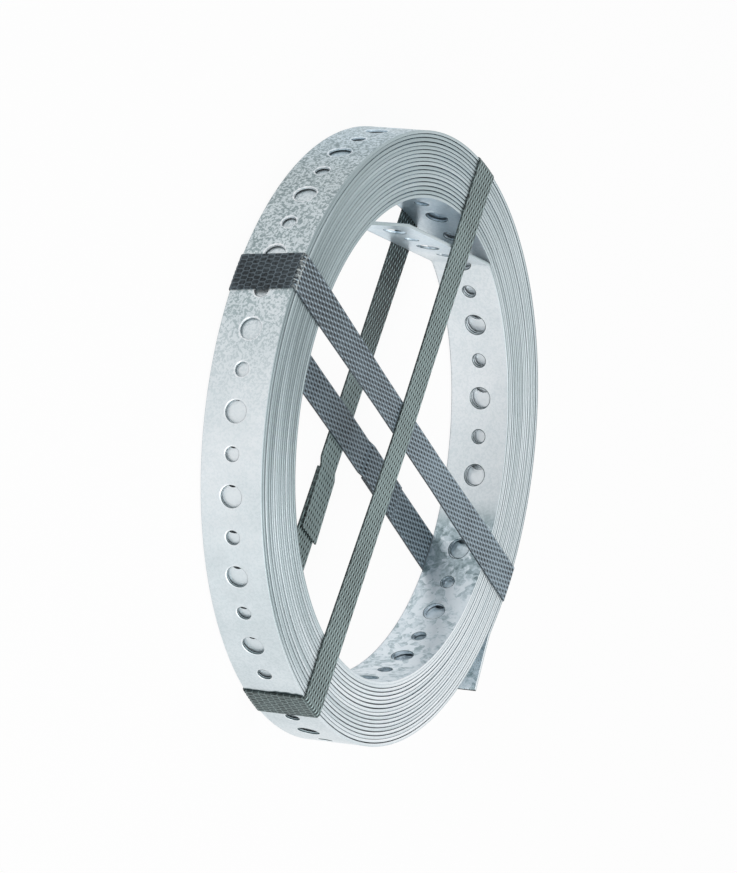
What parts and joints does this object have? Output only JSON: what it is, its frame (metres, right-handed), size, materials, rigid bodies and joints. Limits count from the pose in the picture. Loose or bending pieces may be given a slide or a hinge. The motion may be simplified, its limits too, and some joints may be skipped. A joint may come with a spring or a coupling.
{
  "type": "coil of perforated metal strap",
  "caption": "flat coil of galvanised steel strap with punched holes, a bent inner end and a loose tail, tied across with two flat plastic bands",
  "frame": {"origin": "on the coil's axis, at the level of the floor that the lying coil rests on", "axes": "+Z is the coil's axis, up from the floor; +X runs along wrap_band_outer and +Y along wrap_band_inner"},
  "size_m": [0.2387, 0.2399, 0.0265],
  "materials": {
    "galvanised_steel": "hot-dip galvanised, matt to satin, with a spangle pattern",
    "packing_band": "charcoal grey polypropylene with a fine embossed diamond pattern"
  },
  "bodies": {
    "root": {"coiled_strap": "galvanised_steel", "wrap_band_inner": "packing_band", "wrap_band_outer": "packing_band"}
  },
  "joints": []
}
